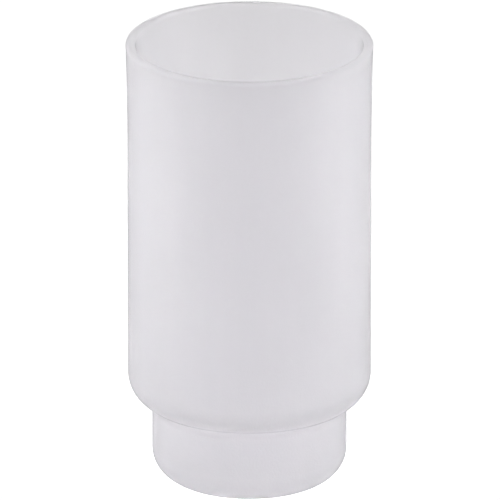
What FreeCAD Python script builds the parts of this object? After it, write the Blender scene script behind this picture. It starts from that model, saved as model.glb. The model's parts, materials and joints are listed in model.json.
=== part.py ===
import FreeCAD, Part
import math
import os

# A bathroom tumbler: one piece of pressed glass, turned about +Z, that stands on its foot at z = 0.
# A straight wall flares a little to a fire-polished rim. Below, a round shoulder tucks in to a narrower
# foot, which drops through the ring of a wall holder or stands on a shelf.

# Overall sizes, in millimetres
height = 125.0
body_diameter = 66.2

# The glass itself: one wall all the way down, and a thicker base
wall = 2.7
base_thickness = 6.0

# The mouth: how far the rim leans out past the wall, how far below the rim that starts, and the radius
# that the flame leaves on both edges of the rim
rim_flare = 0.5
flare_length = 33.0
rim_edge_radius = 1.1

# The step from body to foot: its depth, the level where the foot's straight wall ends, and the radii of
# the shoulder and of the crease under it
foot_step = 6.6
foot_height = 19.2
shoulder_radius = 8.5
crease_radius = 3.5

# The foot and its underside: rounded corner, rounded well inside, flat bearing ring, hollow punt and the
# roll of the ring's inner edge into it
foot_corner_radius = 8.0
well_corner_radius = 6.0
bearing_width = 3.0
punt_depth = 1.5
punt_edge_radius = 6.0

# Radii that follow from the sizes above
body_radius = body_diameter / 2
foot_radius = body_radius - foot_step
well_radius = foot_radius - wall


def point(radius, level):
    """A point of the half section: its distance from the axis and its height."""
    return FreeCAD.Vector(radius, 0, level)


def on_circle(centre, radius, angle):
    """The point of a circle in the half section at an angle from straight outwards."""
    return centre + point(radius * math.cos(angle), radius * math.sin(angle))


def arc(centre, radius, start, end):
    """An arc of the half section from one angle to another, either way round."""
    stops = [start, (start + end) / 2, end]
    return Part.Arc(*[on_circle(centre, radius, angle) for angle in stops]).toShape()


def line(start, end):
    """A straight stretch of the half section."""
    return Part.LineSegment(start, end).toShape()


def mouth():
    """The flare inside, the two edges of the rim and the flare outside. The flares share a centre."""
    flare_start = height - flare_length
    rise = height - rim_edge_radius - flare_start
    outer_flare = (rise ** 2 + rim_flare ** 2) / (2 * rim_flare) - rim_edge_radius
    inner_flare = outer_flare + wall
    centre = point(body_radius + outer_flare, flare_start)
    outer_lean = math.asin(rise / (outer_flare + rim_edge_radius))
    inner_lean = math.asin(rise / (inner_flare - rim_edge_radius))
    outer_edge = on_circle(centre, outer_flare + rim_edge_radius, math.pi - outer_lean)
    inner_edge = on_circle(centre, inner_flare - rim_edge_radius, math.pi - inner_lean)
    return [
        arc(centre, inner_flare, math.pi, math.pi - inner_lean),
        arc(inner_edge, rim_edge_radius, math.pi - inner_lean, math.pi / 2),
        arc(outer_edge, rim_edge_radius, math.pi / 2, -outer_lean),
        arc(centre, outer_flare, math.pi - outer_lean, math.pi),
    ]


def shoulder(inset):
    """The shoulder and the crease under it, from the wall down to the foot, set in by the glass's depth."""
    reach = shoulder_radius + crease_radius
    turn = math.acos(1 - foot_step / reach)
    centre = point(body_radius - shoulder_radius, foot_height + reach * math.sin(turn))
    crease_centre = on_circle(centre, reach, -turn)
    return [
        arc(centre, shoulder_radius - inset, 0, -turn),
        arc(crease_centre, crease_radius + inset, math.pi - turn, math.pi),
    ]


def underside():
    """The foot's rounded corner, the edge of the flat ring that it stands on, and the hollow punt inside."""
    ring_outer = foot_radius - foot_corner_radius
    ring_inner = ring_outer - bearing_width
    turn = 2 * math.atan(punt_depth / ring_inner)
    dome_radius = ring_inner / math.sin(turn) - punt_edge_radius
    return [
        arc(point(ring_outer, foot_corner_radius), foot_corner_radius, 0, -math.pi / 2),
        arc(point(ring_inner, punt_edge_radius), punt_edge_radius, -math.pi / 2, -math.pi / 2 - turn),
        arc(point(0, punt_depth - dome_radius), dome_radius, math.pi / 2 - turn, math.pi / 2),
    ]


def well():
    """The flat floor inside and its rounded corner, from the axis out to the inner wall of the foot."""
    corner_centre = point(well_radius - well_corner_radius, base_thickness + well_corner_radius)
    return [
        line(point(0, base_thickness), point(corner_centre.x, base_thickness)),
        arc(corner_centre, well_corner_radius, -math.pi / 2, 0),
    ]


def joined(runs):
    """The runs of arcs in order, with a straight stretch wherever two of them don't already meet."""
    edges = []
    for run in runs:
        for edge in run:
            if edges:
                end = edges[-1].lastVertex(True).Point
                start = edge.firstVertex(True).Point
                if not start.isEqual(end, Part.Precision.confusion()):
                    edges.append(line(end, start))
            edges.append(edge)
    return edges


# The half section goes up the inside, over the rim, down the outside and in under the foot to the axis
inside_shoulder = [edge.reversed() for edge in reversed(shoulder(wall))]
section = joined([well(), inside_shoulder, mouth(), shoulder(0), underside()])
section.append(line(point(0, punt_depth), point(0, base_thickness)))
glass = Part.Face(Part.Wire(section)).revolve(point(0, 0), FreeCAD.Vector(0, 0, 1), 360)

os.makedirs("parts", exist_ok=True)
glass.exportStep("parts/tumbler.step")
print("tumbler:", glass.ShapeType, "valid", glass.isValid(), "volume", round(glass.Volume), "cubic mm")
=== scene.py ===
import bpy
import json
import math
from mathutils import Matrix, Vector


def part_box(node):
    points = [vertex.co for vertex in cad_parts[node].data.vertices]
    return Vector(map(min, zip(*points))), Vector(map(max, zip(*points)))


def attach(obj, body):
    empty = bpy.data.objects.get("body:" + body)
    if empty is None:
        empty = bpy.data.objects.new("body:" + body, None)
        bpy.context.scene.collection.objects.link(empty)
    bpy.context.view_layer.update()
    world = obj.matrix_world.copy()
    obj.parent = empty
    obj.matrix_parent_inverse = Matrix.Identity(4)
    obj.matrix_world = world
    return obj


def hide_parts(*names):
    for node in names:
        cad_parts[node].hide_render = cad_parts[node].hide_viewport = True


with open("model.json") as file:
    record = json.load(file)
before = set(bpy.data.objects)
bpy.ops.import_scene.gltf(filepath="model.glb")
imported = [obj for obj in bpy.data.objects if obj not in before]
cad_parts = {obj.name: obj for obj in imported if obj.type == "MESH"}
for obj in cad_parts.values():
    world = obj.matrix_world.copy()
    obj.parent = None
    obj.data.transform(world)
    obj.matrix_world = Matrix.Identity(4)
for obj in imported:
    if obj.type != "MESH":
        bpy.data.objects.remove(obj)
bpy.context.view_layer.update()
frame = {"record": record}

# The tumbler, one piece of soda-lime glass. It is pressed in a mould, its rim is melted smooth in a flame,
# and the whole glass is then dipped in acid, which leaves the satin skin. It stands loose on its foot.
low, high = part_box("tumbler")
height = high.z - low.z
rim_radius = (high.x - low.x) / 2
foot_mount = next(mount for mount in frame["record"]["mounts"] if mount["name"] == "foot")
foot_radius = foot_mount["dims"]["r_mm"] / 1000
wall = 0.0027
base_thickness = 0.006
rim_flare = 0.0005
flare_length = 0.033
rim_edge_radius = 0.0011
shoulder_radius = 0.0085
crease_radius = 0.0035
crease_level = 0.0192
foot_corner_radius = 0.008
well_corner_radius = 0.006
bearing_width = 0.003
punt_depth = 0.0015
punt_edge_radius = 0.006
body_radius = rim_radius - rim_flare

# The mouth: both flares share a centre, and the rim's two edges are tangent to them and to the flat top.
flare_start = height - flare_length
edge_rise = height - rim_edge_radius - flare_start
outer_flare = (edge_rise ** 2 + rim_flare ** 2) / (2 * rim_flare) - rim_edge_radius
inner_flare = outer_flare + wall
outer_lean = math.asin(edge_rise / (outer_flare + rim_edge_radius))
inner_lean = math.asin(edge_rise / (inner_flare - rim_edge_radius))
outer_edge = rim_radius - rim_edge_radius
inner_edge = body_radius + outer_flare - (inner_flare - rim_edge_radius) * math.cos(inner_lean)
outer_corner = outer_edge + rim_edge_radius * math.tan(math.pi / 4 + outer_lean / 2)
inner_corner = inner_edge - rim_edge_radius * math.tan(math.pi / 4 - inner_lean / 2)

# The step: the wall turns in round the shoulder and back down round the crease, by the same angle.
turn = math.acos(1 - (body_radius - foot_radius) / (shoulder_radius + crease_radius))
half_turn_tangent = math.tan(turn / 2)
shoulder_level = crease_level + (shoulder_radius + crease_radius) * math.sin(turn)
inner_shoulder = shoulder_radius - wall
inner_crease = crease_radius + wall

# The underside: the ring that the glass stands on rolls into the dome of the punt.
ring_inner = foot_radius - foot_corner_radius - bearing_width
punt_slope = punt_depth / ring_inner
punt_radius = ring_inner / math.sin(2 * math.atan(punt_slope)) - punt_edge_radius
crown_share = 0.97  # ends the dome's arc just short of the axis, where it would fall on the last point

# How strongly the acid bites, on a scale from 0, its least, on the inner wall, to 1, its most, outside.
inner_etch = 0
well_etch = 0.35
rim_etch = 0.5
outer_etch = 1

# The half section as corners: distance from the axis, level, the radius that rounds the corner, and etch.
# It goes from the axis along the floor, up the inside, over the rim, down the outside and in underneath.
# A corner lies past the end of its arc by the arc's radius times the tangent of half the turn.
section = [
    (0, base_thickness, 0, well_etch),
    (foot_radius - wall, base_thickness, well_corner_radius, well_etch),
    (foot_radius - wall, crease_level + inner_crease * half_turn_tangent, inner_crease, well_etch),
    (body_radius - wall, shoulder_level - inner_shoulder * half_turn_tangent, inner_shoulder, inner_etch),
    (body_radius - wall, flare_start + inner_flare * math.tan(inner_lean / 2), inner_flare, inner_etch),
    (inner_corner, height, rim_edge_radius, rim_etch),
    (outer_corner, height, rim_edge_radius, rim_etch),
    (body_radius, flare_start + outer_flare * math.tan(outer_lean / 2), outer_flare, outer_etch),
    (body_radius, shoulder_level - shoulder_radius * half_turn_tangent, shoulder_radius, outer_etch),
    (foot_radius, crease_level + crease_radius * half_turn_tangent, crease_radius, outer_etch),
    (foot_radius, 0, foot_corner_radius, outer_etch),
    (ring_inner - punt_edge_radius * punt_slope, 0, punt_edge_radius, outer_etch),
    (punt_radius * punt_slope, punt_depth, punt_radius * crown_share, outer_etch),
    (0, punt_depth, 0, outer_etch),
]


def add(tree, kind, inputs=None, **settings):
    """Adds a node with its settings. An input takes a value, or the socket that it is linked to."""
    node = tree.nodes.new(kind)
    for name, value in settings.items():
        setattr(node, name, value)
    for name, value in (inputs or {}).items():
        if isinstance(value, bpy.types.NodeSocket):
            tree.links.new(value, node.inputs[name])
        else:
            node.inputs[name].default_value = value
    return node


def linear(code):
    """An sRGB hex colour as linear red, green, blue and full alpha, by the curve of the sRGB standard."""
    parts = [int(code[i:i + 2], 16) / 255 for i in (1, 3, 5)]
    return [p / 12.92 if p <= 0.04045 else ((p + 0.055) / 1.055) ** 2.4 for p in parts] + [1]


# Acid-etched soda-lime glass. The etch scatters what comes through, so the glass is a soft, pale grey with a
# breath of lavender and no sharp highlight. It bites in faint clouds and runs down as it drains off. It is
# weaker inside, though less so in the well, leaves no pits on the melted rim, and is rubbed thin underneath.
cloud_size = 0.03
run_width, run_length = 0.006, 0.09
run_share = 0.5
thin_patch, thick_patch = 0.35, 0.65  # the noise seldom leaves this span
pit_size = 0.0005  # coarsened tenfold, real pits are too fine to show
pit_depth = 0.0001
pit_strength = 0.5
inner_roughness, outer_roughness = 0.6, 0.9
run_roughness = 0.06
melted_roughness = 0.3
rubbed_height, rubbed_share, rubbed_roughness = 0.0005, 0.3, 0.4
etched_glass = bpy.data.materials.new("etched_soda_lime_glass")
etched_glass.use_nodes = True
nodes = etched_glass.node_tree
nodes.nodes.clear()
place = add(nodes, "ShaderNodeTexCoord").outputs["Object"]
drawn_out = add(nodes, "ShaderNodeMapping", {
    "Vector": place,
    "Scale": (1 / run_width, 1 / run_width, 1 / run_length),
})
clouds = add(nodes, "ShaderNodeTexNoise", {"Vector": place, "Scale": 1 / cloud_size, "Detail": 3})
runs = add(nodes, "ShaderNodeTexNoise", {"Vector": drawn_out.outputs[0], "Scale": 1, "Detail": 2})
pits = add(nodes, "ShaderNodeTexNoise", {"Vector": place, "Scale": 1 / pit_size, "Detail": 2})
uneven = add(nodes, "ShaderNodeMix", {0: run_share, 2: clouds.outputs[0], 3: runs.outputs[0]})
patchy = add(nodes, "ShaderNodeMapRange", {
    "Value": uneven.outputs[0],
    "From Min": thin_patch,
    "From Max": thick_patch,
})
tint = add(nodes, "ShaderNodeMix", {
    0: patchy.outputs[0],
    6: linear("#faf9fb"),
    7: linear("#fefdff"),
}, data_type="RGBA")
etch = add(nodes, "ShaderNodeAttribute", attribute_name="etch")
etched = add(nodes, "ShaderNodeMapRange", {
    "Value": etch.outputs["Fac"],
    "To Min": inner_roughness,
    "To Max": outer_roughness,
})
streaky = add(nodes, "ShaderNodeMapRange", {
    "Value": runs.outputs[0],
    "To Min": -run_roughness,
    "To Max": run_roughness,
})
drained = add(nodes, "ShaderNodeMath", {0: etched.outputs[0], 1: streaky.outputs[0]})
polish = add(nodes, "ShaderNodeAttribute", attribute_name="fire_polish")
melted = add(nodes, "ShaderNodeMix", {
    0: polish.outputs["Fac"],
    2: drained.outputs[0],
    3: melted_roughness,
})
level = add(nodes, "ShaderNodeSeparateXYZ", {0: place})
wear = add(nodes, "ShaderNodeMapRange", {
    "Value": level.outputs["Z"],
    "From Max": rubbed_height,
    "To Min": rubbed_share,
    "To Max": 0,
})
rubbed = add(nodes, "ShaderNodeMix", {0: wear.outputs[0], 2: melted.outputs[0], 3: rubbed_roughness})
pitted = add(nodes, "ShaderNodeMapRange", {
    "Value": polish.outputs["Fac"],
    "To Min": pit_strength,
    "To Max": 0,
})
frost = add(nodes, "ShaderNodeBump", {
    "Height": pits.outputs[0],
    "Strength": pitted.outputs[0],
    "Distance": pit_depth,
})
shader = add(nodes, "ShaderNodeBsdfPrincipled", {
    "Base Color": tint.outputs[2],
    "Roughness": rubbed.outputs[0],
    "Normal": frost.outputs[0],
    "IOR": 1.52,
    "Transmission Weight": 0.8,  # the frost throws the rest back
})
add(nodes, "ShaderNodeOutputMaterial", {"Surface": shader.outputs[0]})

# The tree rounds the section's corners, turns it about the axis and marks the flame-polished rim.
turning = bpy.data.node_groups.new("turned_glass", "GeometryNodeTree")
sockets = turning.interface
sockets.new_socket("Section", in_out="INPUT", socket_type="NodeSocketGeometry")
sockets.new_socket("Steps in a corner", in_out="INPUT", socket_type="NodeSocketInt")
sockets.new_socket("Steps round", in_out="INPUT", socket_type="NodeSocketInt")
sockets.new_socket("Lathe radius", in_out="INPUT", socket_type="NodeSocketFloat")
sockets.new_socket("Rim level", in_out="INPUT", socket_type="NodeSocketFloat")
sockets.new_socket("Polished depth", in_out="INPUT", socket_type="NodeSocketFloat")
sockets.new_socket("Weld distance", in_out="INPUT", socket_type="NodeSocketFloat")
sockets.new_socket("Glass", in_out="INPUT", socket_type="NodeSocketMaterial")
sockets.new_socket("Tumbler", in_out="OUTPUT", socket_type="NodeSocketGeometry")
given = add(turning, "NodeGroupInput").outputs
corners = add(turning, "GeometryNodeMeshToCurve", {"Mesh": given["Section"]})
rounding = add(turning, "GeometryNodeInputNamedAttribute", {"Name": "rounding"}, data_type="FLOAT")
rounded = add(turning, "GeometryNodeFilletCurve", {
    "Curve": corners.outputs[0],
    "Count": given["Steps in a corner"],
    "Radius": rounding.outputs["Attribute"],
}, mode="POLY")
circle = add(turning, "GeometryNodeCurvePrimitiveCircle", {
    "Resolution": given["Steps round"],
    "Radius": given["Lathe radius"],
})
upright = add(turning, "GeometryNodeSetCurveNormal", {"Curve": circle.outputs[0]}, mode="Z_UP")
lathe = add(turning, "GeometryNodeCurveToMesh", {
    "Curve": upright.outputs[0],
    "Profile Curve": rounded.outputs[0],
})
welded = add(turning, "GeometryNodeMergeByDistance", {
    "Geometry": lathe.outputs[0],
    "Distance": given["Weld distance"],
})
position = add(turning, "GeometryNodeInputPosition")
axes = add(turning, "ShaderNodeSeparateXYZ", {0: position.outputs[0]})
polish_start = add(turning, "ShaderNodeMath", {
    0: given["Rim level"],
    1: given["Polished depth"],
}, operation="SUBTRACT")
polished = add(turning, "ShaderNodeMapRange", {
    "Value": axes.outputs["Z"],
    "From Min": polish_start.outputs[0],
    "From Max": given["Rim level"],
}, interpolation_type="SMOOTHSTEP")
marked = add(turning, "GeometryNodeStoreNamedAttribute", {
    "Geometry": welded.outputs[0],
    "Name": "fire_polish",
    "Value": polished.outputs[0],
}, data_type="FLOAT", domain="POINT")
smooth = add(turning, "GeometryNodeSetShadeSmooth", {"Geometry": marked.outputs[0]})
real = add(turning, "GeometryNodeRealizeInstances", {"Geometry": smooth.outputs[0]})
finished = add(turning, "GeometryNodeSetMaterial", {
    "Geometry": real.outputs[0],
    "Material": given["Glass"],
})
add(turning, "NodeGroupOutput", {"Tumbler": finished.outputs[0]})

# The section is drawn with its levels downwards, which the lathe turns up.
radii, levels, roundings, etches = zip(*section)
drawn = bpy.data.meshes.new("half_section")
drawn.from_pydata(
    [(across, -up, 0) for across, up in zip(radii, levels)],
    [(i, i + 1) for i in range(len(section) - 1)],
    [],
)
drawn.attributes.new("rounding", "FLOAT", "POINT").data.foreach_set("value", roundings)
drawn.attributes.new("etch", "FLOAT", "POINT").data.foreach_set("value", etches)
half_section = bpy.data.objects.new("half_section", drawn)
bpy.context.scene.collection.objects.link(half_section)
turned = half_section.modifiers.new("turned", "NODES")
turned.node_group = turning
chosen = {
    "Steps in a corner": 12,
    "Steps round": 256,
    "Lathe radius": 1e-6,  # next to nothing, so that the section keeps its own distance from the axis
    "Rim level": height,
    "Polished depth": 0.0025,
    "Weld distance": 2e-5,
    "Glass": etched_glass,
}
for item in sockets.items_tree:
    if item.name in chosen:
        turned[item.identifier] = chosen[item.name]
mesh = bpy.data.meshes.new_from_object(half_section.evaluated_get(bpy.context.evaluated_depsgraph_get()))
bpy.data.objects.remove(half_section)
tumbler = bpy.data.objects.new("tumbler_glass", mesh)
bpy.context.scene.collection.objects.link(tumbler)
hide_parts("tumbler")
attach(tumbler, "root")


def seen_level(tree, straight, through):
    """One level where the camera looks straight at it, another in a gloss or through the glass, else none."""
    ray = add(tree, "ShaderNodeLightPath").outputs
    plain = add(tree, "ShaderNodeMath", {0: ray["Is Camera Ray"], 1: straight}, operation="MULTIPLY")
    passed = add(tree, "ShaderNodeMath", {
        0: ray["Is Glossy Ray"],
        1: ray["Is Transmission Ray"],
    }, operation="MAXIMUM")
    dimmed = add(tree, "ShaderNodeMath", {0: passed.outputs[0], 1: through}, operation="MULTIPLY")
    either = {0: plain.outputs[0], 1: dimmed.outputs[0]}
    return add(tree, "ShaderNodeMath", either, operation="MAXIMUM").outputs[0]


# The floor, a wide board of matt white paper under the glass. Near the glass it shows a little below white
# before the lamps light it, so that it keeps the shadow, and further out, where their light gives out, it
# shows as white by itself. Through the glass it is dimmer, to match the photograph.
floor_half = 4.0
floor_level = -0.00005  # a hair under the glass, so that the two never share a plane
lit_radius, white_radius = 0.2, 1.0
lit_level, white_level = 0.7, 1.0
floor_through_glass = 0.47
board = bpy.data.meshes.new("floor_board")
board.from_pydata(
    [(x * floor_half, y * floor_half, floor_level) for x, y in ((-1, -1), (1, -1), (1, 1), (-1, 1))],
    [],
    [(0, 1, 2, 3)],
)
floor = bpy.data.objects.new("floor", board)
bpy.context.scene.collection.objects.link(floor)
paper = bpy.data.materials.new("matt_white_paper")
paper.use_nodes = True
nodes = paper.node_tree
nodes.nodes.clear()
matt = add(nodes, "ShaderNodeBsdfDiffuse", {"Color": linear("#f5f5f5")})
place = add(nodes, "ShaderNodeTexCoord").outputs["Object"]
spread = add(nodes, "ShaderNodeVectorMath", {0: place}, operation="LENGTH")
outwards = add(nodes, "ShaderNodeMapRange", {
    "Value": spread.outputs["Value"],
    "From Min": lit_radius,
    "From Max": white_radius,
    "To Min": lit_level,
    "To Max": white_level,
})
shine = add(nodes, "ShaderNodeEmission", {
    "Color": linear("#ffffff"),
    "Strength": seen_level(nodes, outwards.outputs[0], floor_through_glass),
})
both = add(nodes, "ShaderNodeAddShader", {0: matt.outputs[0], 1: shine.outputs[0]})
add(nodes, "ShaderNodeOutputMaterial", {"Surface": both.outputs[0]})
board.materials.append(paper)

# The studio: a room that shows as white, or dimmer through the glass, and five soft boxes that all face the
# middle of the glass. The low pair gives the light bands on its sides, the high pair the light line on its
# rim, and one fills the front.
room_level, room_through_glass = 1.0, 0.6
world = bpy.data.worlds.new("white_room")
bpy.context.scene.world = world
world.use_nodes = True
nodes = world.node_tree
nodes.nodes.clear()
air = add(nodes, "ShaderNodeBackground", {
    "Color": linear("#ffffff"),
    "Strength": seen_level(nodes, room_level, room_through_glass),
})
add(nodes, "ShaderNodeOutputWorld", {"Surface": air.outputs[0]})
box_distance = 1.0
for name, azimuth, rise, width, length, watts in [
    ("left_soft_box", -100, 6, 0.5, 0.4, 2.35),
    ("right_soft_box", 100, 6, 0.5, 0.4, 2.1),
    ("upper_left_soft_box", -90, 55, 0.5, 0.5, 2.2),
    ("upper_right_soft_box", 90, 55, 0.5, 0.5, 2.2),
    ("front_soft_box", 0, 15, 0.6, 0.6, 1.9),
]:
    lamp = bpy.data.lights.new(name, "AREA")
    lamp.shape = "RECTANGLE"
    lamp.size = width
    lamp.size_y = length
    lamp.energy = watts
    box = bpy.data.objects.new(name, lamp)
    bpy.context.scene.collection.objects.link(box)
    round_by = math.radians(azimuth)
    up_by = math.radians(rise)
    box.location = (
        box_distance * math.sin(round_by) * math.cos(up_by),
        -box_distance * math.cos(round_by) * math.cos(up_by),
        box_distance * math.sin(up_by),
    )
    box.rotation_euler = (-box.location).to_track_quat("-Z", "Y").to_euler()
    box.location.z += height / 2

# The camera, about 20 degrees up and far off with a long lens, so that the sides of the glass stay parallel.
# The lens follows from how many pixels a metre takes up in the square picture.
distance = 5.0
elevation = math.radians(20.4)
pixels_per_metre = 3679
image_side = 500
aim_height = 0.06484
aim_side = 0.00016
camera = bpy.data.cameras.new("camera")
camera.sensor_width = 36
camera.lens = pixels_per_metre * distance * camera.sensor_width / image_side
stand = bpy.data.objects.new("camera", camera)
bpy.context.scene.collection.objects.link(stand)
stand.location = (aim_side, -distance * math.cos(elevation), aim_height + distance * math.sin(elevation))
stand.rotation_euler = (math.pi / 2 - elevation, 0, 0)
bpy.context.scene.camera = stand
bpy.context.scene.view_settings.view_transform = "Standard"
